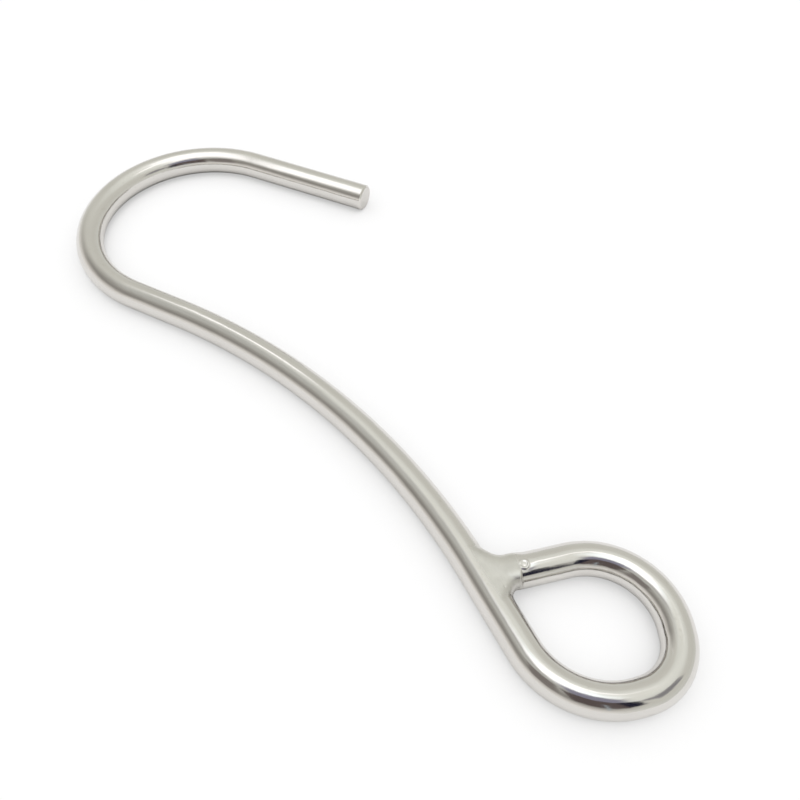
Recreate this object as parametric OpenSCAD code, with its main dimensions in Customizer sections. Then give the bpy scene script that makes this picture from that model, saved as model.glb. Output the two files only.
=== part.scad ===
// Reef hook: one length of round stainless bar, bent in one plane and welded shut at the eye.
//
// The bar is described as its bend schedule, in order from the cut tip: straight tip, hook bend,
// straight throat, bow of the shank, straight neck, three bends of the eye, and the closing leg
// that comes back and is welded onto the side of the neck. Every stretch is a true cylinder or
// torus. A bend draws the bar down a little, so its ends sit just inside the straights beside it.
//
// Frame: the bar's centre line lies in the XY plane. The origin is the middle of the eye, and +X
// runs from there through the centre of the hook bend, which is the line that the load pulls on.

/* [Bar] */
// Diameter of the round bar
bar_d = 6; // [4:0.5:8]
// How much a bend draws the bar's diameter down
bend_draw = 0.02; // [0.01:0.01:0.1]
// Width of the bevel round the cut end
tip_bevel = 0.4; // [0.1:0.1:1]

/* [Hook] */
// Straight length at the tip, with its bevel
tip_l = 30; // [12:1:45]
// Radius of the hook bend, at the centre line
hook_r = 25; // [16:0.5:36]
// Turn of the hook bend, in degrees
hook_turn = 177; // [165:1:185]

/* [Shank] */
// Straight length between the hook bend and the bow
throat_l = 12; // [4:1:30]
// Radius of the bow, at the centre line
bow_r = 135; // [100:1:240]
// Turn of the bow, in degrees, the other way from the hook's
bow_turn = 36; // [15:1:45]
// Straight length of the neck between the bow and the middle of the weld
neck_lead = 2; // [1:0.5:15]

/* [Eye] */
// Radius of the bend next to the neck, at the centre line
eye_near_r = 14.5; // [12:0.5:20]
// Turn of the bend next to the neck, in degrees
eye_near_turn = 80; // [72:1:86]
// Radius of the tight bend at the end of the eye, at the centre line
eye_end_r = 9.5; // [8:0.5:14]
// Turn of the tight bend, in degrees
eye_end_turn = 75; // [66:1:82]
// Radius of the bend that turns back to the neck, at the centre line
eye_far_r = 13; // [11:0.5:18]
// Turn of the bend that turns back to the neck, in degrees
eye_far_turn = 102; // [94:1:108]
// Straight length left between one bend of the eye and the next
eye_feed = 1; // [0.5:0.5:3]

/* [Weld] */
// How far the weld runs up the closing leg from the side of the neck
weld_reach = 4; // [3:0.5:6]
// Radius of the weld's hollow on the outside of the eye
weld_outer_r = 3.5; // [2:0.5:5]
// Radius of the weld's hollow on the inside of the eye
weld_inner_r = 1.5; // [1:0.5:2.5]
// Depth of the dressed weld below the bar's surface
weld_dressing = 0.1; // [0.05:0.05:0.3]

/* [Hidden] */
$fn = 128;

bar_r = bar_d / 2;
// A bend starts and ends this far inside the straights beside it
bend_lap = 0.2;
// The weld's first run starts this far short of the neck's centre line, inside the neck
weld_root = bar_r / 3;
// The weld's first run ends this far inside the closing leg
weld_lap = 0.3;
// Each later run of the weld lies this far below the run before it
weld_step = 0.05;

// A place is [x, y, heading]. A step of the schedule is a straight, [length], or a bend,
// [radius, turn], where a turn to the left is positive.
function is_bend(step) = len(step) == 2;
function bend_centre(place, step) =
    let (reach = sign(step[1]) * step[0])
    [place[0] - reach * sin(place[2]), place[1] + reach * cos(place[2])];
function after_bend(place, step) =
    let (centre = bend_centre(place, step),
         reach = sign(step[1]) * step[0],
         heading = place[2] + step[1])
    [centre[0] + reach * sin(heading), centre[1] - reach * cos(heading), heading];
function after_straight(place, step) =
    [place[0] + step[0] * cos(place[2]), place[1] + step[0] * sin(place[2]), place[2]];
function after(place, step) =
    is_bend(step) ? after_bend(place, step) : after_straight(place, step);
function place_of(steps, count, start = [0, 0, 0]) =
    count == 0 ? start : after(place_of(steps, count - 1, start), steps[count - 1]);

// The eye, seen from where it leaves the neck along +X. The closing leg runs straight on from the
// last bend until its centre line meets the neck's, which is y = 0.
eye_steps = [
    [eye_near_r, eye_near_turn], [eye_feed],
    [eye_end_r, eye_end_turn], [eye_feed],
    [eye_far_r, eye_far_turn]
];
eye_exit = place_of(eye_steps, len(eye_steps));
leg_angle = eye_exit[2] - 180;
leg_l = eye_exit[1] / sin(leg_angle);
weld_to_eye = leg_l * cos(leg_angle) - eye_exit[0];
// The closing leg keeps its full size down to the weld's edge, seen from the neck's centre line
weld_edge = bar_r + weld_reach;

// The whole schedule, from the inner edge of the tip's bevel to the edge of the weld
hook_steps = [[tip_l - tip_bevel], [hook_r, hook_turn]];
shank_steps = [[throat_l], [bow_r, -bow_turn], [neck_lead + weld_to_eye]];
steps = concat(hook_steps, shank_steps, eye_steps, [[leg_l - weld_edge]]);

// Places on the schedule, with its start at [0, 0]
hook_centre = bend_centre(place_of(steps, 1), hook_steps[1]);
eye_start = place_of(steps, len(hook_steps) + len(shank_steps));
eye_last_bend = place_of(steps, len(steps) - 2);
eye_near_centre = bend_centre(eye_start, eye_steps[0]);
eye_far_centre = bend_centre(eye_last_bend, [eye_far_r, eye_far_turn]);
eye_middle = (eye_near_centre + eye_far_centre) / 2;
weld_place = after_straight(eye_start, [-weld_to_eye]);
load_line = hook_centre - eye_middle;

module at(place) translate([place[0], place[1], 0]) rotate(place[2]) children();

module straight(length) rotate([0, 90, 0]) cylinder(h = length, d = bar_d);

// A bend of the bar from the origin along +X, to the left or, for a negative turn, to the right
module bend(radius, turn) {
    lap_turn = bend_lap / radius * 180 / PI;
    mirror([0, turn < 0 ? 1 : 0, 0])
        translate([0, radius, 0])
            rotate(-90 - lap_turn)
                rotate_extrude(angle = abs(turn) + 2 * lap_turn)
                    translate([radius, 0]) circle(d = bar_d - bend_draw);
}

// The bevelled end of the tip, which faces back along the schedule
module cut_end()
    rotate([0, -90, 0]) cylinder(h = tip_bevel, d1 = bar_d, d2 = bar_d - 2 * tip_bevel);

module bent_bar()
    for (i = [0 : len(steps) - 1])
        at(place_of(steps, i))
            if (is_bend(steps[i])) bend(steps[i][0], steps[i][1]);
            else straight(steps[i][0]);

// The weld's first run: the filled end of the closing leg, sunk into the side of the neck
module weld_stub()
    rotate(leg_angle)
        translate([weld_root, 0, 0])
            rotate([0, 90, 0])
                cylinder(h = weld_edge + weld_lap - weld_root, r = bar_r - weld_dressing);

// Weld metal in the corner between two arms of the bar, at headings first < second: an elbow
// that leaves a hollow of the given radius. Run 1 and run 2 lie one and two steps down.
module weld_corner(hollow_r, first, second, run) {
    metal_r = bar_r - weld_dressing - run * weld_step;
    elbow_r = hollow_r + metal_r;
    half = (second - first) / 2;
    rotate((first + second) / 2)
        translate([elbow_r / sin(half), 0, 0])
            rotate(90 + half)
                rotate_extrude(angle = 180 - 2 * half)
                    translate([elbow_r, 0]) circle(r = metal_r);
}

module weld()
    at(weld_place) {
        weld_stub();
        weld_corner(weld_outer_r, leg_angle, 180, 1);
        weld_corner(weld_inner_r, 0, leg_angle, 2);
    }

module hook()
    color([0.74, 0.73, 0.70])
        rotate(-atan2(load_line[1], load_line[0]))
            translate([-eye_middle[0], -eye_middle[1], 0]) {
                cut_end();
                bent_bar();
                weld();
            }

hook();
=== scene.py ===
import math

import bmesh
import bpy
import numpy as np
from mathutils import Matrix, Vector

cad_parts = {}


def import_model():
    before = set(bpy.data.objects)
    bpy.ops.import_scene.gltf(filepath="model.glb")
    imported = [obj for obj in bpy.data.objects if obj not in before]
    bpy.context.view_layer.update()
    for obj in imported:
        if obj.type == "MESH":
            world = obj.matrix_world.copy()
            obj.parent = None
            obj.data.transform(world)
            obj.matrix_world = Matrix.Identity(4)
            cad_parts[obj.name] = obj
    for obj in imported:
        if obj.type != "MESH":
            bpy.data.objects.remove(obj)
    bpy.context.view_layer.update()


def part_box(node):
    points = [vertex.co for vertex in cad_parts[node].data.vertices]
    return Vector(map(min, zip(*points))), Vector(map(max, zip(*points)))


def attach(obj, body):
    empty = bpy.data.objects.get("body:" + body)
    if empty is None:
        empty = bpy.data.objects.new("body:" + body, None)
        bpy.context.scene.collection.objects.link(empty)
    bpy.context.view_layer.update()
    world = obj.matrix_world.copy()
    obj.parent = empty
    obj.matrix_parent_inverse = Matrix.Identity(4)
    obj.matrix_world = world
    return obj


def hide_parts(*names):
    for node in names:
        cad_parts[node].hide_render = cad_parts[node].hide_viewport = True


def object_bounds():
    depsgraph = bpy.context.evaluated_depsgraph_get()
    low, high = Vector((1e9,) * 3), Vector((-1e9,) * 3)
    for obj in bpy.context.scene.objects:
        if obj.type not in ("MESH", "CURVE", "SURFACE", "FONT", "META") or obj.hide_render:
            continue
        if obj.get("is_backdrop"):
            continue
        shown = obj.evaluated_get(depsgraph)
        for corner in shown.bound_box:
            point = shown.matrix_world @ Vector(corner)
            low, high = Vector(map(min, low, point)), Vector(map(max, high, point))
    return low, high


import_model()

# ---------------------------------------------------------------- sizes, in millimetres and degrees
MM = 0.001

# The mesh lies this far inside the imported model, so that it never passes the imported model's box.
SKIN = 0.02
BAR_R = (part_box("hook")[1].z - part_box("hook")[0].z) / 2 / MM - SKIN

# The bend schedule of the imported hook, from the tip to the welded end. A pair is a radius and a turn.
TIP_L = 30.0
HOOK_R = 25.0
HOOK_TURN = 177.0
THROAT_L = 12.0
BOW_R = 135.0
BOW_TURN = -36.0
NECK_LEAD = 2.0
EYE_FEED = 1.0
EYE_NEAR = (14.5, 80.0)
EYE_END = (9.5, 75.0)
EYE_FAR = (13.0, 102.0)

# The cut end of the tip: a small bevel whose two corners are worn round, each in this many steps.
TIP_BEVEL = 0.4
TIP_ROUND = 0.12
TIP_STEPS = 4
# Rings on the cut face, as shares of the bar's radius.
FACE_RINGS = (0.35, 0.65)

# The weld joins the leg to the neck. Its own axes run along the neck to the eye, towards the leg and up.
# Places on the leg are given out along it from the neck, and across it towards the inside of the eye.
# A pair is a soft step, from where it is 0 to where it is 1. Two pairs are the two ends of a stretch.

# The radius of the weld's hollow outside and inside the eye, where across the leg the one changes into
# the other, and how far from the neck's line the hollows start.
WELD_OUTER_R = 2.9
WELD_INNER_R = 1.8
HOLLOW_CHANGE = (-1.5, 1.5)
HOLLOW_START = (-0.1, 1.2)
# The ground zone: how deep it is dressed, and its stretch along the neck.
WELD_DRESSING = 0.05
GROUND_NECK = ((-5.0, -2.8), (5.4, 3.2))
# How far the ground zone is from round to square in section: 0 is round, and more is flatter.
WELD_FLAT_IN = 1.9
WELD_FLAT_OUT = 0.7
WELD_FLAT_NECK = 1.6
# The weld bead that is left on the outer side of the leg.
WELD_BEAD = 0.12
WELD_BEAD_OUT = 5.4
WELD_BEAD_L = 2.4
WELD_BEAD_SIDE = (-0.8, -2.6)

# The toe, where the ground zone ends on the leg: its place out at 1 mm across, its lean, how sharp it is
# inside the eye, and how much softer it gets outside.
TOE_OUT = 6.25
TOE_LEAN = 0.18
TOE_SHARP = 0.22
TOE_SOFTER = 1.3
TOE_SOFT_SIDE = (0.2, -1.0)
# The fine ridge along the toe.
TOE_H = 0.04
TOE_W = 0.13
TOE_REACH = ((0.4, 1.0), (3.3, 2.5))

# A ring of spatter on the leg: its place, radius, rim and height, the gap towards the neck, its dish,
# and how far up the leg it shows.
SPATTER = (7.15, 0.2)
SPATTER_R = 0.72
SPATTER_RIM = 0.19
SPATTER_H = 0.08
SPATTER_GAP = 0.75
SPATTER_GAP_TURN = 0.55
SPATTER_DISH = 0.095
SPATTER_DISH_R = 1.1
SPATTER_UP = (0.5, 1.5)
# A scratch by the toe, through a place on the leg, with its way across itself.
SCRATCH_AT = (6.1, 2.6)
SCRATCH_ACROSS = (0.92, -0.4)
SCRATCH_DEPTH = 0.03
SCRATCH_W = 0.09
SCRATCH_REACH = ((2.1, 2.4), (3.2, 2.9))
# A pit in the weld's top, in the weld's own axes.
PIT = (3.8, 2.0, 2.9)
PIT_DEPTH = 0.09
PIT_R = 0.17

# Where the weld is left dull: out along the leg past the toe, out from the neck, and along the neck.
DULL_TOE = (0.3, -0.1)
DULL_ROOT = (-0.1, 0.8)
DULL_NECK = ((-6.5, -3.5), (6.5, 4.0))
# A place on the weld this far out from the neck may count as the leg's.
LEG_FROM = 0.8

# The mesh: points round the bar, and the most length and turn between two rings.
ROUND = 72
RING_STEP = 0.7
RING_TURN = 2.5
# The weld's fine mesh: its grid, its reach up the shank, to the eye and out along the leg, and the gap
# to the nearest ring of the bar.
WELD_GRID = 0.105
WELD_UP = 8.0
WELD_DOWN = 8.0
WELD_LEG = 9.5
ZIP = 0.25
# More room for the grid on the far side of the neck, and how near points are that become one.
GRID_ROOM = 0.5
GRID_MERGE = 0.12 * WELD_GRID
# How near a cut, and how near the bar's surface, the points of the mesh's edge at that cut lie.
CUT_NEAR = 0.05
EDGE_NEAR = 0.5
# Steps for slopes, and the least squared slope that a point is moved by.
SLOPE_STEP = 0.01
LEAST_SLOPE = 0.05


# ---------------------------------------------------------------- the bend schedule
def bend(radius, turn):
    """A bend as (length, curvature)."""
    return abs(radius * math.radians(turn)), math.copysign(1 / radius, turn)


def walk(place, length, curvature):
    """The place (x, y, heading) after this length of bar."""
    x, y, h = place
    if curvature == 0:
        return x + length * math.cos(h), y + length * math.sin(h), h
    k = h + length * curvature
    return x + (math.sin(k) - math.sin(h)) / curvature, y - (math.cos(k) - math.cos(h)) / curvature, k


def follow(place, steps):
    """The place after all of these steps."""
    for length, curvature in steps:
        place = walk(place, length, curvature)
    return place


def centre_of(place, curvature):
    """The centre of the bend that starts at this place."""
    x, y, h = place
    return Vector((x - math.sin(h) / curvature, y + math.cos(h) / curvature))


def eye_sizes():
    """The eye's bends, the leg's length to the neck's centre line, and the neck's length from there."""
    eye = [bend(*EYE_NEAR), (EYE_FEED, 0), bend(*EYE_END), (EYE_FEED, 0), bend(*EYE_FAR)]
    x, y, h = follow((0, 0, 0), eye)
    leg_angle = h - math.pi
    leg_l = y / math.sin(leg_angle)
    return eye, leg_angle, leg_l, leg_l * math.cos(leg_angle) - x


EYE, LEG_ANGLE, LEG_L, WELD_TO_EYE = eye_sizes()
SHANK = [(TIP_L, 0), bend(HOOK_R, HOOK_TURN), (THROAT_L, 0), bend(BOW_R, BOW_TURN)]
NECK_L = NECK_LEAD + WELD_TO_EYE
STEPS = SHANK + [(NECK_L, 0)] + EYE + [(LEG_L, 0)]


def start_place():
    """Where the tip's end lies when the eye's middle is the origin and the hook's centre is along +X."""
    at_hook = follow((0, 0, 0), STEPS[:1])
    at_near = follow((0, 0, 0), STEPS[:5])
    at_far = follow((0, 0, 0), STEPS[:9])
    hook = centre_of(at_hook, STEPS[1][1])
    eye = (centre_of(at_near, STEPS[5][1]) + centre_of(at_far, STEPS[9][1])) / 2
    line = hook - eye
    turn = -math.atan2(line.y, line.x)
    start = Matrix.Rotation(turn, 2) @ -eye
    return start.x, start.y, turn


START = start_place()
LENGTHS = [length for length, _ in STEPS]
BAR_L = sum(LENGTHS)
WELD_AT = sum(LENGTHS[:4]) + NECK_LEAD


def place_at(s):
    """The place (x, y, heading) on the bar's centre line, this far from the tip."""
    place = START
    for length, curvature in STEPS:
        if s <= length:
            return walk(place, s, curvature)
        place = walk(place, length, curvature)
        s -= length
    return place


# ---------------------------------------------------------------- the swept bar
def stations(first, last):
    """Distances along the bar from first to last, closer together where it bends."""
    marks = [first]
    done = 0
    for length, curvature in STEPS:
        a, b = max(first, done), min(last, done + length)
        if b > a:
            step = min(RING_STEP, math.radians(RING_TURN) / abs(curvature)) if curvature else RING_STEP
            n = max(1, math.ceil((b - a) / step))
            marks += [a + (b - a) * k / n for k in range(1, n + 1)]
        done += length
    return marks


ANGLES = np.arange(ROUND) * 2 * math.pi / ROUND


def ring(s, radius, shift=0.0):
    """Points, normals and bar coordinates of one ring round the bar, with its normals leaning by shift."""
    x, y, h = place_at(s)
    side = np.array([-math.sin(h), math.cos(h), 0])
    ahead = np.array([math.cos(h), math.sin(h), 0])
    up = np.array([0, 0, 1.0])
    out = np.outer(np.cos(ANGLES), side) + np.outer(np.sin(ANGLES), up)
    normals = out * math.cos(shift) - ahead * math.sin(shift)
    coords = np.column_stack([np.full(ROUND, s), radius * np.cos(ANGLES), radius * np.sin(ANGLES)])
    return np.array([x, y, 0]) + radius * out, normals, coords


def tip_profile():
    """The cut end as (distance from the end, radius, lean of the normal), from the face to the side."""
    rows = []
    reach = TIP_ROUND * math.tan(math.pi / 8)
    for corner_s, corner_r, lean in ((0, BAR_R - TIP_BEVEL, 90), (TIP_BEVEL, BAR_R, 45)):
        # each corner is an arc that turns by 45 degrees
        for k in range(TIP_STEPS + 1):
            a = math.radians(lean - 45 * k / TIP_STEPS)
            if lean == 90:
                s = TIP_ROUND * (1 - math.sin(a))
                r = corner_r - reach + TIP_ROUND * math.cos(a)
            else:
                s = corner_s + reach - TIP_ROUND * math.sin(a)
                r = corner_r - TIP_ROUND * (1 - math.cos(a))
            rows.append((s, r, a))
    return rows


class Skin:
    """Vertices, normals, bar coordinates and faces of one mesh while it is put together."""

    def __init__(self):
        self.points = []
        self.normals = []
        self.coords = []
        self.zone = []
        self.faces = []
        self.count = 0

    def add(self, points, normals, coords, zone=None):
        """Adds vertices and returns their numbers."""
        first = self.count
        self.points.append(points)
        self.normals.append(normals)
        self.coords.append(coords)
        self.zone.append(np.zeros(len(points)) if zone is None else zone)
        self.count += len(points)
        return list(range(first, self.count))

    def bridge(self, a, b):
        """Quads between two rings of as many points."""
        n = len(a)
        self.faces += [(a[k], a[(k + 1) % n], b[(k + 1) % n], b[k]) for k in range(n)]

    def zip(self, a, angle_a, b, angle_b):
        """Triangles between two closed loops whose points are in order of angle."""
        i = j = 0
        while i < len(a) or j < len(b):
            next_a = angle_a[i + 1] if i + 1 < len(a) else angle_a[0] + 2 * math.pi
            next_b = angle_b[j + 1] if j + 1 < len(b) else angle_b[0] + 2 * math.pi
            here_a, here_b = a[i % len(a)], b[j % len(b)]
            if j >= len(b) or (i < len(a) and next_a <= next_b):
                self.faces.append((here_a, a[(i + 1) % len(a)], here_b))
                i += 1
            else:
                self.faces.append((here_a, b[(j + 1) % len(b)], here_b))
                j += 1


def sweep(skin, marks):
    """Rings at these distances along the bar; returns the first and the last."""
    rings = [skin.add(*ring(s, BAR_R)) for s in marks]
    for a, b in zip(rings, rings[1:]):
        skin.bridge(a, b)
    return rings[0], rings[-1]


def tip_cap(skin, first):
    """Closes the tip: a flat cut face, then the worn bevel, up to the first ring of the sweep."""
    x, y, h = START
    rows = [skin.add(*ring(s, r, lean)) for s, r, lean in tip_profile()]
    face = [skin.add(*ring(0, share * BAR_R, math.pi / 2)) for share in FACE_RINGS]
    back = np.array([[-math.cos(h), -math.sin(h), 0]])
    middle = skin.add(np.array([[x, y, 0]]), back, np.zeros((1, 3)))[0]
    inner = face[0]
    skin.faces += [(inner[k], middle, inner[(k + 1) % ROUND]) for k in range(ROUND)]
    rings = face + rows + [first]
    for a, b in zip(rings, rings[1:]):
        skin.bridge(a, b)


# ---------------------------------------------------------------- the weld
def weld_frame():
    """Origin and axes (along the neck to the eye, towards the leg, up) of the weld, in the row frame."""
    x, y, h = place_at(WELD_AT)
    along = np.array([math.cos(h), math.sin(h), 0])
    across = np.array([-math.sin(h), math.cos(h), 0])
    return np.array([x, y, 0]), np.array([along, across, [0, 0, 1.0]])


WELD_O, WELD_AXES = weld_frame()
LEG_OUT = np.array([math.cos(LEG_ANGLE), math.sin(LEG_ANGLE), 0])
LEG_SIDE = np.array([math.sin(LEG_ANGLE), -math.cos(LEG_ANGLE), 0])


def smooth(edge0, edge1, x):
    """A soft step from 0 at edge0 to 1 at edge1."""
    t = np.clip((x - edge0) / (edge1 - edge0), 0, 1)
    return t * t * (3 - 2 * t)


def within(stretch, x):
    """1 inside a stretch with soft ends, and 0 outside it."""
    start, end = stretch
    return smooth(*start, x) * smooth(*end, x)


def hump(x):
    """A soft hump, 1 high at 0."""
    return np.exp(-x ** 2)


def section(x, z, flat):
    """Size of (x, z) in a section that is round, or flat-topped where x and z are above 0, and its slope."""
    n = 2 + flat * (x > 0) * (z > 0)
    ax, az = np.maximum(np.abs(x), 1e-6), np.maximum(np.abs(z), 1e-6)
    size = (ax ** n + az ** n) ** (1 / n)
    return size, np.sign(x) * (ax / size) ** (n - 1), np.sign(z) * (az / size) ** (n - 1)


def neck_gap(p, flat=0.0):
    """Distance from the neck's centre line, which is straight past the bow's end, and its direction."""
    bow = p[:, 0] < -NECK_LEAD
    off = p[:, :2] - np.array([-NECK_LEAD, -BOW_R])
    far = np.linalg.norm(off, axis=1)
    across = np.where(bow, far - BOW_R, p[:, 1])
    gap, slope_across, slope_up = section(across, p[:, 2], flat)
    side_x = np.where(bow, off[:, 0] / far, 0)
    side_y = np.where(bow, off[:, 1] / far, 1)
    return gap, np.column_stack([side_x * slope_across, side_y * slope_across, slope_up])


def leg_gap(p, flat_in=0.0, flat_out=0.0):
    """Distance from the leg's centre line, its direction, and the places out along the leg and across it."""
    out = p @ LEG_OUT
    side = p @ LEG_SIDE
    gap, slope_side, slope_up = section(np.abs(side), p[:, 2], np.where(side > 0, flat_in, flat_out))
    slope = (np.sign(side) * slope_side)[:, None] * LEG_SIDE + slope_up[:, None] * np.array([0, 0, 1.0])
    return gap, slope, out, side


def past_toe(out, side):
    """How far out from the toe's line a place on the leg lies."""
    return out - (TOE_OUT - TOE_LEAN * (side - 1.0))


def ground(p):
    """How far each place lies in the ground zone, on the leg and on the neck."""
    out, side = p @ LEG_OUT, p @ LEG_SIDE
    soft = TOE_SHARP + TOE_SOFTER * smooth(*TOE_SOFT_SIDE, side)
    on_leg = smooth(0, 1, 0.5 - past_toe(out, side) / (2 * soft))
    return on_leg, within(GROUND_NECK, p[:, 0])


def weld_shape(p):
    """Two bars joined by hollows, ground flat on top where they meet; less than 0 inside the metal."""
    on_leg, on_neck = ground(p)
    a, slope_a = neck_gap(p, WELD_FLAT_NECK * on_neck)
    b, slope_b, out, side = leg_gap(p, WELD_FLAT_IN * on_leg, WELD_FLAT_OUT * on_leg)
    a = a - BAR_R
    bead = WELD_BEAD * hump((out - WELD_BEAD_OUT) / WELD_BEAD_L) * smooth(*WELD_BEAD_SIDE, side)
    b = b - (BAR_R - WELD_DRESSING * on_leg + bead)
    hollow = WELD_OUTER_R + (WELD_INNER_R - WELD_OUTER_R) * smooth(*HOLLOW_CHANGE, side)
    # the hollows fade out where the two tops are level, and on the far side of the neck
    k = hollow * (1 - np.sum(slope_a * slope_b, axis=1)) * smooth(*HOLLOW_START, p[:, 1])
    # the leg's centre line starts at the neck's
    b = np.maximum(b, -out)
    return np.maximum(k, np.minimum(a, b)) - np.hypot(np.maximum(k - a, 0), np.maximum(k - b, 0))


def spatter(out, side):
    """Height of the drop of spatter: a ring, lower towards the neck, in a shallow dish."""
    x, y = out - SPATTER[0], side - SPATTER[1]
    r = np.hypot(x, y)
    towards_neck = math.pi - np.abs(np.arctan2(y, x))
    rim = hump((r - SPATTER_R) / SPATTER_RIM) * (1 - SPATTER_GAP * hump(towards_neck / SPATTER_GAP_TURN))
    return SPATTER_H * rim - SPATTER_DISH * hump(r / SPATTER_DISH_R)


def scratch(out, side):
    """Depth of the scratch by the toe."""
    away = (out - SCRATCH_AT[0]) * SCRATCH_ACROSS[0] + (side - SCRATCH_AT[1]) * SCRATCH_ACROSS[1]
    return SCRATCH_DEPTH * hump(away / SCRATCH_W) * within(SCRATCH_REACH, side)


def weld_marks(p):
    """How far the dressed weld's small marks stand proud of it."""
    _, _, out, side = leg_gap(p)
    above = p[:, 2] > 0
    marks = smooth(*SPATTER_UP, p[:, 2]) * spatter(out, side)
    marks += above * TOE_H * hump(past_toe(out, side) / TOE_W) * within(TOE_REACH, side)
    marks -= above * scratch(out, side)
    marks -= PIT_DEPTH * hump(np.linalg.norm(p - np.array(PIT), axis=1) / PIT_R)
    return marks


def weld_field(p):
    """The weld with its marks; less than 0 inside the metal."""
    return weld_shape(p) - weld_marks(p)


def field_slope(p):
    """Gradient of the weld's field."""
    rows = []
    for axis in np.eye(3) * SLOPE_STEP:
        rows.append((weld_field(p + axis) - weld_field(p - axis)) / (2 * SLOPE_STEP))
    return np.column_stack(rows)


def settle(p, turns=6):
    """Moves points onto the weld's surface."""
    for _ in range(turns):
        slope = field_slope(p)
        size = np.maximum(np.sum(slope * slope, axis=1), LEAST_SLOPE)
        p = p - slope * (weld_field(p) / size)[:, None]
    return p


def neighbours(axis, rest):
    """Two sets of slices: all places with a next place along this axis, and those next places."""
    here = [rest] * 3
    here[axis] = slice(0, -1)
    there = [rest] * 3
    there[axis] = slice(1, None)
    return tuple(here), tuple(there)


def cell_points(grid, value, inside, step):
    """For each cell of the grid, the sum and the number of the places where its edges cross the surface."""
    counts = value.shape
    cells = tuple(n - 1 for n in counts)
    total = np.zeros(cells + (3,))
    hits = np.zeros(cells)
    for axis in range(3):
        here, there = neighbours(axis, slice(None))
        cross = inside[here] != inside[there]
        share = np.where(cross, value[here] / np.where(cross, value[here] - value[there], 1), 0)
        spot = grid[here].copy()
        spot[..., axis] += share * step
        others = [k for k in range(3) if k != axis]
        for da in (0, 1):
            for db in (0, 1):
                part = [slice(None)] * 3
                for other, d in zip(others, (da, db)):
                    part[other] = slice(d, counts[other] - 1 + d)
                total += np.where(cross[tuple(part)][..., None], spot[tuple(part)], 0)
                hits += cross[tuple(part)]
    return total, hits


def cell_quads(number, inside):
    """A quad round each edge of the grid that crosses the surface, through the four cells beside it."""
    quads = []
    for axis in range(3):
        o1, o2 = [k for k in range(3) if k != axis]
        here, there = neighbours(axis, slice(1, -1))
        base = np.argwhere(inside[here] != inside[there])
        flip = inside[here][tuple(base.T)]
        base[:, [o1, o2]] += 1
        corners = []
        for d1, d2 in ((0, 0), (1, 0), (1, 1), (0, 1)):
            cell = base.copy()
            cell[:, o1] -= d1
            cell[:, o2] -= d2
            corners.append(number[tuple(cell.T)])
        quad = np.column_stack(corners)
        turn = flip != (axis == 1)
        quads.append(np.where(turn[:, None], quad, quad[:, ::-1]))
    return np.vstack(quads)


def surface_net(low, high, step):
    """Points and quads of the field's zero surface on a grid, one point in each cell that it crosses."""
    counts = np.ceil((high - low) / step).astype(int) + 1
    axes = [low[k] + step * np.arange(counts[k]) for k in range(3)]
    grid = np.stack(np.meshgrid(*axes, indexing="ij"), axis=-1)
    value = weld_field(grid.reshape(-1, 3)).reshape(counts)
    inside = value < 0
    total, hits = cell_points(grid, value, inside, step)
    used = hits > 0
    number = np.full(used.shape, -1)
    number[used] = np.arange(used.sum())
    return total[used] / hits[used][:, None], cell_quads(number, inside)


def cuts():
    """The three cross-sections where the weld's mesh ends: (distance along the bar, way out of the weld)."""
    return ((WELD_AT - WELD_UP, -1), (WELD_AT + WELD_DOWN, 1), (BAR_L - WELD_LEG, -1))


def to_weld(s):
    """A place on the bar as (point, direction, side) in the weld's own axes."""
    x, y, h = place_at(s)
    point = WELD_AXES @ (np.array([x, y, 0]) - WELD_O)
    ahead = WELD_AXES @ np.array([math.cos(h), math.sin(h), 0])
    side = WELD_AXES @ np.array([-math.sin(h), math.cos(h), 0])
    return point, ahead, side


def weld_mesh():
    """The weld as a mesh in its own axes, trimmed at its three cuts."""
    margin = 3 * WELD_GRID
    low = np.array([-WELD_UP - margin, -BAR_R - margin - GRID_ROOM, -BAR_R - margin])
    high = np.array([WELD_DOWN + margin, WELD_LEG + BAR_R + margin, BAR_R + margin])
    points, quads = surface_net(low, high, WELD_GRID)
    points = settle(points)
    mesh = bmesh.new()
    verts = [mesh.verts.new(p) for p in points]
    for quad in quads.tolist():
        mesh.faces.new([verts[k] for k in quad])
    for s, way in cuts():
        point, ahead, _ = to_weld(s)
        geom = mesh.verts[:] + mesh.edges[:] + mesh.faces[:]
        bmesh.ops.bisect_plane(mesh, geom=geom, plane_co=point, plane_no=ahead * way, clear_outer=True)
    bmesh.ops.remove_doubles(mesh, verts=mesh.verts[:], dist=GRID_MERGE)
    mesh.verts.ensure_lookup_table()
    mesh.verts.index_update()
    return mesh


def weld_coords(points):
    """Bar coordinates of places on the weld, and how dull each one is."""
    to_leg, _, out, side = leg_gap(points)
    to_neck, _ = neck_gap(points)
    on_leg = (to_neck > to_leg) & (points[:, 1] > LEG_FROM)
    along = np.where(on_leg, BAR_L - out, WELD_AT + points[:, 0])
    across = np.where(on_leg, side, points[:, 1])
    dull = smooth(*DULL_TOE, out - TOE_OUT) * smooth(*DULL_ROOT, points[:, 1])
    dull *= within(DULL_NECK, points[:, 0])
    return np.column_stack([along, across, points[:, 2]]), dull


def open_loop(mesh, points, s):
    """The weld's open edge at the cut this far along the bar: its vertices and their angles, in order."""
    point, ahead, side = to_weld(s)
    edge = [v.index for v in mesh.verts if v.is_boundary
            and abs((points[v.index] - point) @ ahead) < CUT_NEAR
            and np.linalg.norm(points[v.index] - point) < BAR_R + EDGE_NEAR]
    rel = points[edge] - point
    angle = np.arctan2(rel[:, 2], rel @ side) % (2 * math.pi)
    order = np.argsort(angle)
    return [edge[k] for k in order], list(angle[order])


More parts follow.
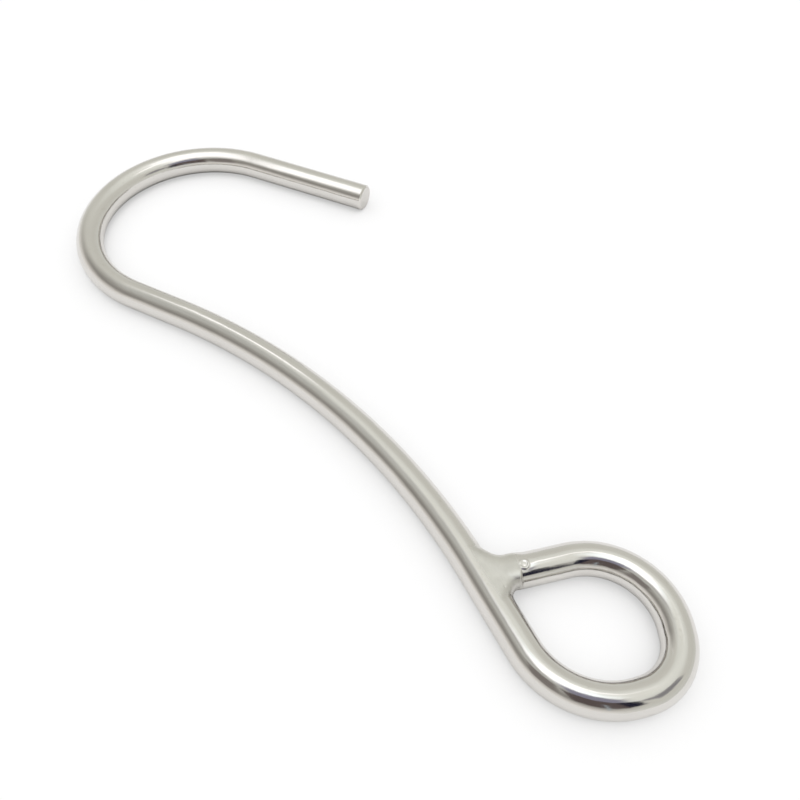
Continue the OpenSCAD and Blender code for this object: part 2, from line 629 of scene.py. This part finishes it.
def add_weld(skin, ends):
    """Adds the weld to the skin and joins each of its three open edges to a ring of the sweep."""
    mesh = weld_mesh()
    points = np.array([v.co for v in mesh.verts], float)
    open_edge = np.array([v.is_boundary for v in mesh.verts])
    points[~open_edge] = settle(points[~open_edge], 2)
    normals = field_slope(points)
    normals /= np.linalg.norm(normals, axis=1)[:, None]
    numbers = skin.add(WELD_O + points @ WELD_AXES, normals @ WELD_AXES, *weld_coords(points))
    skin.faces += [tuple(numbers[v.index] for v in face.verts) for face in mesh.faces]
    for (s, way), end in zip(cuts(), ends):
        edge, angle = open_loop(mesh, points, s)
        loop = [numbers[k] for k in edge]
        if way < 0:
            skin.zip(list(end), list(ANGLES), loop, angle)
        else:
            skin.zip(loop, angle, list(end), list(ANGLES))
    mesh.free()


def make_hook():
    """The whole bar as one closed mesh in the row frame."""
    skin = Skin()
    tip_end = TIP_BEVEL + TIP_ROUND
    shank_first, shank_last = sweep(skin, stations(tip_end, WELD_AT - WELD_UP - ZIP))
    tip_cap(skin, shank_first)
    eye_first, eye_last = sweep(skin, stations(WELD_AT + WELD_DOWN + ZIP, BAR_L - WELD_LEG - ZIP))
    add_weld(skin, (shank_last, eye_first, eye_last))
    points = np.vstack(skin.points)
    mesh = bpy.data.meshes.new("reef_hook_bar")
    mesh.from_pydata((points * MM).tolist(), [], skin.faces)
    mesh.polygons.foreach_set("use_smooth", [True] * len(mesh.polygons))
    mesh.update()
    put_attribute(mesh, "bar", "FLOAT_VECTOR", np.vstack(skin.coords))
    put_attribute(mesh, "weld", "FLOAT", np.concatenate(skin.zone))
    mesh.validate()
    mesh.normals_split_custom_set_from_vertices(np.vstack(skin.normals).tolist())
    piece = bpy.data.objects.new("reef_hook_bar", mesh)
    bpy.context.scene.collection.objects.link(piece)
    return piece


def put_attribute(mesh, name, kind, values):
    """Stores one value for each vertex."""
    layer = mesh.attributes.new(name, kind, "POINT")
    layer.data.foreach_set("vector" if kind == "FLOAT_VECTOR" else "value", values.ravel().astype(np.float32))


# ---------------------------------------------------------------- material nodes
def feed(tree, socket, value):
    """Gives a node's input another node's output, a colour or a number."""
    if isinstance(value, bpy.types.NodeSocket):
        tree.links.new(value, socket)
    elif socket.type == "RGBA":
        socket.default_value = (*value, 1)
    else:
        socket.default_value = value


def new_node(tree, kind, inputs=(), **settings):
    """A node with these settings, whose inputs are fed by name or by number."""
    node = tree.nodes.new(kind)
    for name, value in settings.items():
        setattr(node, name, value)
    for name, value in dict(inputs).items():
        feed(tree, node.inputs[name], value)
    return node


def maths(tree, operation, *values):
    """The output of a Math node whose inputs are numbers or sockets."""
    return new_node(tree, "ShaderNodeMath", enumerate(values), operation=operation).outputs[0]


def soft_step(tree, value, low, high):
    """0 below low, 1 above high and soft between them; low may be the larger."""
    ends = (0.0, 1.0) if high > low else (1.0, 0.0)
    limits = {"Value": value, "From Min": min(low, high), "From Max": max(low, high)}
    limits.update({"To Min": ends[0], "To Max": ends[1]})
    node = new_node(tree, "ShaderNodeMapRange", limits, interpolation_type="SMOOTHSTEP")
    return node.outputs["Result"]


def ramp(tree, value, stops):
    """A colour ramp over (position, colour) stops."""
    node = new_node(tree, "ShaderNodeValToRGB", {"Fac": value})
    band = node.color_ramp
    while len(band.elements) < len(stops):
        band.elements.new(0.5)
    for element, (at, colour) in zip(band.elements, stops):
        element.position = at
        element.color = (*colour, 1)
    return node.outputs["Color"]


def mixed(tree, share, a, b):
    """Two colours mixed by a share; each is a socket or a colour."""
    inputs = {0: share, 6: a, 7: b}
    return new_node(tree, "ShaderNodeMix", inputs, data_type="RGBA", clamp_factor=True).outputs[2]


def blend_number(tree, share, a, b):
    """Two numbers mixed by a share."""
    return new_node(tree, "ShaderNodeMix", {0: share, 2: a, 3: b}).outputs[0]


def blend_shader(tree, share, a, b):
    """Two shaders mixed by a share."""
    return new_node(tree, "ShaderNodeMixShader", {0: share, 1: a, 2: b}).outputs[0]


def noise(tree, vector, detail, rough):
    """Noise from about 0 to 1, in the units of its vector."""
    inputs = {"Vector": vector, "Scale": 1.0, "Detail": detail, "Roughness": rough}
    return new_node(tree, "ShaderNodeTexNoise", inputs).outputs[0]


def pattern(tree, place, scale, detail, rough):
    """Noise over a place that is first multiplied by a fixed scale."""
    scaled = new_node(tree, "ShaderNodeVectorMath", {0: place, 1: scale}, operation="MULTIPLY")
    return noise(tree, scaled.outputs[0], detail, rough)


def around(tree, value, low, high):
    """A noise value spread from low to high."""
    limits = {"Value": value, "From Min": 0.25, "From Max": 0.75, "To Min": low, "To Max": high}
    return new_node(tree, "ShaderNodeMapRange", limits).outputs["Result"]


def new_material(piece, name):
    """Gives a piece a new material, and returns its nodes."""
    mat = bpy.data.materials.new(name)
    mat.use_nodes = True
    piece.data.materials.append(mat)
    return mat.node_tree


# ---------------------------------------------------------------- steel
# Base colours of the bar and of its ground weld, and how strongly a stain colours the bar.
STEEL_LIGHT = (0.70, 0.68, 0.65)
STEEL_DARK = (0.66, 0.64, 0.61)
STEEL_STAIN = (0.56, 0.53, 0.49)
STEEL_WELD = (0.59, 0.575, 0.54)
STEEL_WELD_PALE = (0.69, 0.675, 0.635)
STAIN_SHARE = 0.35
# Roughness of each zone. The polish gets brighter between two places along the bar, from the tip.
ROUGH_SHANK = 0.145
ROUGH_EYE = 0.115
ROUGH_WELD = 0.37
ROUGH_CUT = 0.33
EYE_POLISH = (196.0, 222.0)
# Where along the bar the cut face's look ends, and the way the weld was ground.
CUT_FACE = (0.06, 0.01)
GRIND_WAY = math.radians(70)
# Noise patterns: how fast each changes along, across and up, per millimetre, its detail and its roughness.
LINES = ((0.05, 3.6, 3.6), 5.0, 0.62)
HAIRS = ((0.35, 9.0, 9.0), 3.0, 0.6)
CLOUDS = ((0.11, 0.4, 0.4), 3.0, 0.55)
STAINS = ((0.55, 0.8, 0.8), 4.0, 0.6)
STAIN_EDGE = (0.62, 0.74)
GRIND = ((5.0, 0.7, 2.0), 4.0, 0.6)
PATCHES = ((0.45, 0.45, 0.3), 2.0, 0.5)
# The saw marks run one way over the cut face: how fast they change across and up, then as above.
SAW_ACROSS = 4.4
SAW_UP = 2.6
SAW = (4.0, 0.7)
# What each pattern adds to the roughness.
LINES_ROUGH = (-0.02, 0.025)
CLOUDS_ROUGH = (-0.02, 0.02)
STAINS_ROUGH = 0.05
GRIND_ROUGH = (-0.04, 0.04)
SAW_ROUGH = (-0.05, 0.05)
# Relief of each pattern, in millimetres.
LINES_RELIEF = 0.006
HAIRS_RELIEF = 0.0015
CLOUDS_RELIEF = 0.05
GRIND_RELIEF = 0.02
SAW_RELIEF = 0.03


def steel_zones(tree):
    """Bar coordinates, and how far each place lies in the dull weld and on the cut face."""
    place = new_node(tree, "ShaderNodeAttribute", attribute_name="bar").outputs["Vector"]
    dull = new_node(tree, "ShaderNodeAttribute", attribute_name="weld").outputs["Fac"]
    along, across, up = new_node(tree, "ShaderNodeSeparateXYZ", {0: place}).outputs
    return place, along, across, up, dull, soft_step(tree, along, *CUT_FACE)


def steel_patterns(tree, place, across, up):
    """The patterns in the steel, by name."""
    object_place = tree.nodes.new("ShaderNodeTexCoord").outputs["Object"]
    inputs = {"Vector": object_place, "Rotation": (0, 0, GRIND_WAY), "Scale": (MM, MM, MM)}
    ground_place = new_node(tree, "ShaderNodeMapping", inputs, vector_type="TEXTURE").outputs[0]
    slant = maths(tree, "MULTIPLY", across, SAW_ACROSS)
    slant = maths(tree, "ADD", slant, maths(tree, "MULTIPLY", up, SAW_UP))
    face_place = new_node(tree, "ShaderNodeCombineXYZ", {0: slant}).outputs[0]
    return {
        "lines": pattern(tree, place, *LINES),
        "hairs": pattern(tree, place, *HAIRS),
        "clouds": pattern(tree, place, *CLOUDS),
        "stains": soft_step(tree, pattern(tree, place, *STAINS), *STAIN_EDGE),
        "grind": pattern(tree, ground_place, *GRIND),
        "patches": pattern(tree, ground_place, *PATCHES),
        "saw": noise(tree, face_place, *SAW)}


def steel_colour(tree, made, dull):
    """Clouded steel with small stains, and patchy grey at the weld."""
    shade = mixed(tree, around(tree, made["clouds"], 0.0, 1.0), STEEL_DARK, STEEL_LIGHT)
    shade = mixed(tree, maths(tree, "MULTIPLY", made["stains"], STAIN_SHARE), shade, STEEL_STAIN)
    weld = mixed(tree, around(tree, made["patches"], 0.0, 1.0), STEEL_WELD, STEEL_WELD_PALE)
    return mixed(tree, dull, shade, weld)


def steel_roughness(tree, made, along, dull, cut):
    """Polish that gets brighter towards the eye, dull at the weld and on the cut face."""
    to_eye = soft_step(tree, along, *EYE_POLISH)
    rough = maths(tree, "ADD", ROUGH_SHANK, around(tree, made["clouds"], *CLOUDS_ROUGH))
    rough = maths(tree, "SUBTRACT", rough, maths(tree, "MULTIPLY", to_eye, ROUGH_SHANK - ROUGH_EYE))
    rough = maths(tree, "ADD", rough, around(tree, made["lines"], *LINES_ROUGH))
    rough = maths(tree, "ADD", rough, maths(tree, "MULTIPLY", made["stains"], STAINS_ROUGH))
    weld = maths(tree, "ADD", ROUGH_WELD, around(tree, made["grind"], *GRIND_ROUGH))
    face = maths(tree, "ADD", ROUGH_CUT, around(tree, made["saw"], *SAW_ROUGH))
    return blend_number(tree, cut, blend_number(tree, dull, rough, weld), face)


def steel_relief(tree, made, dull, cut):
    """Height in millimetres: lines along the bar, grinding marks on the weld, saw marks on the cut face."""
    bar = maths(tree, "MULTIPLY", made["lines"], LINES_RELIEF)
    bar = maths(tree, "ADD", bar, maths(tree, "MULTIPLY", made["hairs"], HAIRS_RELIEF))
    bar = maths(tree, "ADD", bar, maths(tree, "MULTIPLY", made["clouds"], CLOUDS_RELIEF))
    weld = maths(tree, "MULTIPLY", made["grind"], GRIND_RELIEF)
    face = maths(tree, "MULTIPLY", made["saw"], SAW_RELIEF)
    return blend_number(tree, cut, blend_number(tree, dull, bar, weld), face)


def polished_stainless(piece):
    """Drawn and belt-polished bar, ground dull at the weld and sawn at the tip."""
    tree = new_material(piece, "polished_stainless")
    bsdf = tree.nodes["Principled BSDF"]
    place, along, across, up, dull, cut = steel_zones(tree)
    made = steel_patterns(tree, place, across, up)
    relief = {"Height": steel_relief(tree, made, dull, cut), "Strength": 1.0, "Distance": MM}
    bump = new_node(tree, "ShaderNodeBump", relief)
    feed(tree, bsdf.inputs["Metallic"], 1.0)
    feed(tree, bsdf.inputs["Base Color"], steel_colour(tree, made, dull))
    feed(tree, bsdf.inputs["Roughness"], steel_roughness(tree, made, along, dull, cut))
    feed(tree, bsdf.inputs["Normal"], bump.outputs[0])


# ---------------------------------------------------------------- studio
# Radiance that the steel mirrors, by elevation: the tent behind the hook, and the camera's side of it.
TENT = ((5, (0.78, 0.79, 0.75)), (25, (0.73, 0.73, 0.68)), (45, (0.77, 0.77, 0.72)),
        (60, (0.96, 0.98, 0.93)), (72, (0.99, 1.00, 0.94)), (88, (1.68, 1.82, 1.90)))
NEAR = ((5, (1.00, 0.99, 0.96)), (14, (0.75, 0.72, 0.70)),
        (22, (0.48, 0.47, 0.44)), (30, (0.31, 0.30, 0.28)),
        (42, (0.45, 0.44, 0.41)), (55, (0.65, 0.66, 0.63)),
        (65, (0.58, 0.58, 0.56)), (75, (1.68, 1.71, 1.75)))
# The middle of the camera's side, and how far round from it that side is full and gone.
NEAR_AZIMUTH = 87.2
NEAR_FULL = 47.9
NEAR_NONE = 98.6
# Light on the table, by elevation. Diffuse rays see this sky, and only the table sends them.
TABLE_DOME = ((0, 0.1), (15, 0.15), (38, 1.36), (88, 1.40))
# The table: half its size in metres, its white and its roughness.
TABLE_HALF = 3.0
TABLE_WHITE = 0.9
TABLE_ROUGH = 0.9
# The painted shade right beside the bar, darkening the table's colour: its reach in metres, its edge by
# openness, its colour and its samples.
CONTACT_REACH = 0.007
CONTACT_EDGE = (0.10, 0.58)
CONTACT_SHADE = (0.22, 0.21, 0.20)
CONTACT_SAMPLES = 8
# How much of the table's white is plain where a camera sees it, and where the steel mirrors it.
TABLE_GLOW = 0.5
TABLE_GLOW_MIRRORED = 0.02
# The leaning softbox: the way it faces, and the way its length runs.
LEANING_FACE = (0.280, -0.792, -0.543)
LEANING_LENGTH = (0.532, -0.341, 0.773)
# The camera: its place in millimetres, the ways it looks and holds its right side, and its lens.
CAMERA_AT = (-20.966, 59.886, 126.975)
CAMERA_AHEAD = (0.47171, -0.39458, -0.78854)
CAMERA_RIGHT = (-0.63102, -0.77569, 0.01066)
LENS = 37.33
SENSOR = 36
CLIP = (0.01, 20)


def direction(azimuth, elevation):
    """The unit vector at this azimuth from +X and this elevation."""
    a, e = math.radians(azimuth), math.radians(elevation)
    return Vector((math.cos(a) * math.cos(e), math.sin(a) * math.cos(e), math.sin(e)))


def sky_ramp(tree, height, stops):
    """A colour ramp over (elevation, colour) stops, from a direction's height."""
    return ramp(tree, height, [(math.sin(math.radians(e)), colour) for e, colour in stops])


def camera_side(tree, way, height):
    """How far a direction lies on the camera's side."""
    ahead = {0: way, 1: direction(NEAR_AZIMUTH, 0)}
    facing = new_node(tree, "ShaderNodeVectorMath", ahead, operation="DOT_PRODUCT").outputs["Value"]
    # a little over 1, so that the root is never 0
    flat = maths(tree, "SQRT", maths(tree, "SUBTRACT", 1.0001, maths(tree, "MULTIPLY", height, height)))
    turned = maths(tree, "DIVIDE", facing, flat)
    return soft_step(tree, turned, math.cos(math.radians(NEAR_NONE)), math.cos(math.radians(NEAR_FULL)))


def world():
    """A pale tent, darker on the camera's side. Diffuse rays see the table's sky, and a camera sees white."""
    made = bpy.data.worlds.new("studio")
    bpy.context.scene.world = made
    made.use_nodes = True
    tree = made.node_tree
    way = tree.nodes.new("ShaderNodeTexCoord").outputs["Generated"]
    height = new_node(tree, "ShaderNodeSeparateXYZ", {0: way}).outputs["Z"]
    tent = sky_ramp(tree, height, TENT)
    near = sky_ramp(tree, height, NEAR)
    on_table = sky_ramp(tree, height, [(e, (level,) * 3) for e, level in TABLE_DOME])
    path = tree.nodes.new("ShaderNodeLightPath")
    seen = mixed(tree, camera_side(tree, way, height), tent, near)
    seen = mixed(tree, path.outputs["Is Diffuse Ray"], seen, on_table)
    seen = mixed(tree, path.outputs["Is Camera Ray"], seen, (1.0, 1.0, 1.0))
    feed(tree, tree.nodes["Background"].inputs["Color"], seen)


def sheet(name, w, h):
    """A flat rectangle that faces up, with these half sizes."""
    mesh = bpy.data.meshes.new(name)
    mesh.from_pydata([(-w, -h, 0), (w, -h, 0), (w, h, 0), (-w, h, 0)], [], [(0, 1, 2, 3)])
    piece = bpy.data.objects.new(name, mesh)
    bpy.context.scene.collection.objects.link(piece)
    return piece


def card(name, at, half, soft, colour, turn):
    """A soft-edged card that only mirrors see: its middle, half sizes and soft edge in millimetres."""
    w, h = half
    piece = sheet(name, w, h)
    piece.location = Vector(at) * MM
    piece.rotation_mode = "QUATERNION"
    piece.rotation_quaternion = turn
    piece.scale = (MM, MM, MM)
    piece.visible_camera = False
    piece.visible_diffuse = False
    piece.visible_shadow = False
    tree = new_material(piece, name)
    tree.nodes.clear()
    place = tree.nodes.new("ShaderNodeTexCoord").outputs["Object"]
    x, y, _ = new_node(tree, "ShaderNodeSeparateXYZ", {0: place}).outputs
    across = soft_step(tree, maths(tree, "ABSOLUTE", x), w, w - soft)
    upward = soft_step(tree, maths(tree, "ABSOLUTE", y), h, h - soft)
    share = maths(tree, "MULTIPLY", across, upward)
    clear = tree.nodes.new("ShaderNodeBsdfTransparent").outputs[0]
    glow = new_node(tree, "ShaderNodeEmission", {"Color": colour, "Strength": 1.0}).outputs[0]
    out = tree.nodes.new("ShaderNodeOutputMaterial")
    feed(tree, out.inputs["Surface"], blend_shader(tree, share, clear, glow))
    piece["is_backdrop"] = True


def facing_card(name, azimuth, elevation, reach, half, soft, colour, at=(0, 0, 0)):
    """A card that faces a place on the table, by default the middle of the eye, from this far away."""
    way = direction(azimuth, elevation)
    card(name, Vector(at) + way * reach, half, soft, colour, (-way).to_track_quat("Z", "Y"))


def studio_cards():
    """Two softboxes, and the cards on the camera's side of the hook, where the later ones stand nearer."""
    down = Vector((0, 0, -1)).to_track_quat("Z", "Y")
    card("softbox", (56, -11, 640), (60, 291), 60, (1.90, 1.90, 1.92), down)
    # the second one stands edge on to the eye and the shank, so only the hook's end mirrors it
    face = Vector(LEANING_FACE).normalized()
    along = Vector(LEANING_LENGTH)
    along = (along - face * along.dot(face)).normalized()
    turn = Matrix((along.cross(face), along, face)).transposed().to_quaternion()
    card("softbox_tip", (170.5, -20.2, 122.3), (37.5, 98), 24, (1.60, 1.60, 1.61), turn)
    facing_card("dark_arm", 116.0, 35.2, 345, (84.0, 100.6), 26.0, (0.26, 0.235, 0.225), at=(123, 0, 0))
    facing_card("upper_blue", 147.1, 62.5, 333, (110.0, 112.0), 42.0, (0.303, 0.298, 0.385))
    facing_card("dark_body", 143.7, 43.3, 302, (121.5, 94.0), 9.0, (0.130, 0.105, 0.103))
    facing_card("dark_small", 204.3, 43.4, 286, (75.4, 51.7), 10.7, (0.302, 0.296, 0.311))
    facing_card("black_gap", 171.9, 41.5, 266, (26.5, 66.1), 3.0, (0.010, 0.010, 0.029))
    facing_card("bright_gap", 148.1, 29.3, 246, (5.5, 62.5), 2.3, (0.485, 0.557, 0.604))


def floor():
    """The white table under the hook."""
    piece = sheet("floor", TABLE_HALF, TABLE_HALF)
    piece.location.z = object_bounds()[0].z
    tree = new_material(piece, "white_table")
    bsdf = tree.nodes["Principled BSDF"]
    # painted shade: the table's colour is darker right where the bar touches it
    reach = {"Distance": CONTACT_REACH}
    corner = new_node(tree, "ShaderNodeAmbientOcclusion", reach, samples=CONTACT_SAMPLES)
    open_share = soft_step(tree, corner.outputs["AO"], *CONTACT_EDGE)
    feed(tree, bsdf.inputs["Base Color"], mixed(tree, open_share, CONTACT_SHADE, (TABLE_WHITE,) * 3))
    feed(tree, bsdf.inputs["Roughness"], TABLE_ROUGH)
    feed(tree, bsdf.inputs["Specular IOR Level"], 0.0)
    # part of the table's white is plain, for the camera and for what mirrors it; the rest keeps the shadow
    path = tree.nodes.new("ShaderNodeLightPath")
    seen = maths(tree, "MULTIPLY", path.outputs["Is Camera Ray"], TABLE_GLOW)
    for ray in ("Is Glossy Ray", "Is Transmission Ray"):
        seen = maths(tree, "MAXIMUM", seen, maths(tree, "MULTIPLY", path.outputs[ray], TABLE_GLOW_MIRRORED))
    glow = new_node(tree, "ShaderNodeEmission", {"Color": (1, 1, 1), "Strength": 1.0}).outputs[0]
    out = tree.nodes["Material Output"]
    feed(tree, out.inputs["Surface"], blend_shader(tree, seen, bsdf.outputs[0], glow))
    piece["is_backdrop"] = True


def camera():
    """The camera over the eye, looking along the hook."""
    data = bpy.data.cameras.new("camera")
    data.sensor_width = SENSOR
    data.lens = LENS
    data.clip_start, data.clip_end = CLIP
    obj = bpy.data.objects.new("camera", data)
    ahead = Vector(CAMERA_AHEAD).normalized()
    right = Vector(CAMERA_RIGHT).normalized()
    axes = Matrix((right, right.cross(ahead), -ahead)).transposed()
    obj.matrix_world = Matrix.Translation(Vector(CAMERA_AT) * MM) @ axes.to_4x4()
    bpy.context.scene.collection.objects.link(obj)
    bpy.context.scene.camera = obj


bpy.context.scene.view_settings.view_transform = "Standard"
camera()
hook = make_hook()
polished_stainless(hook)
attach(hook, "root")
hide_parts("hook")
floor()
world()
studio_cards()
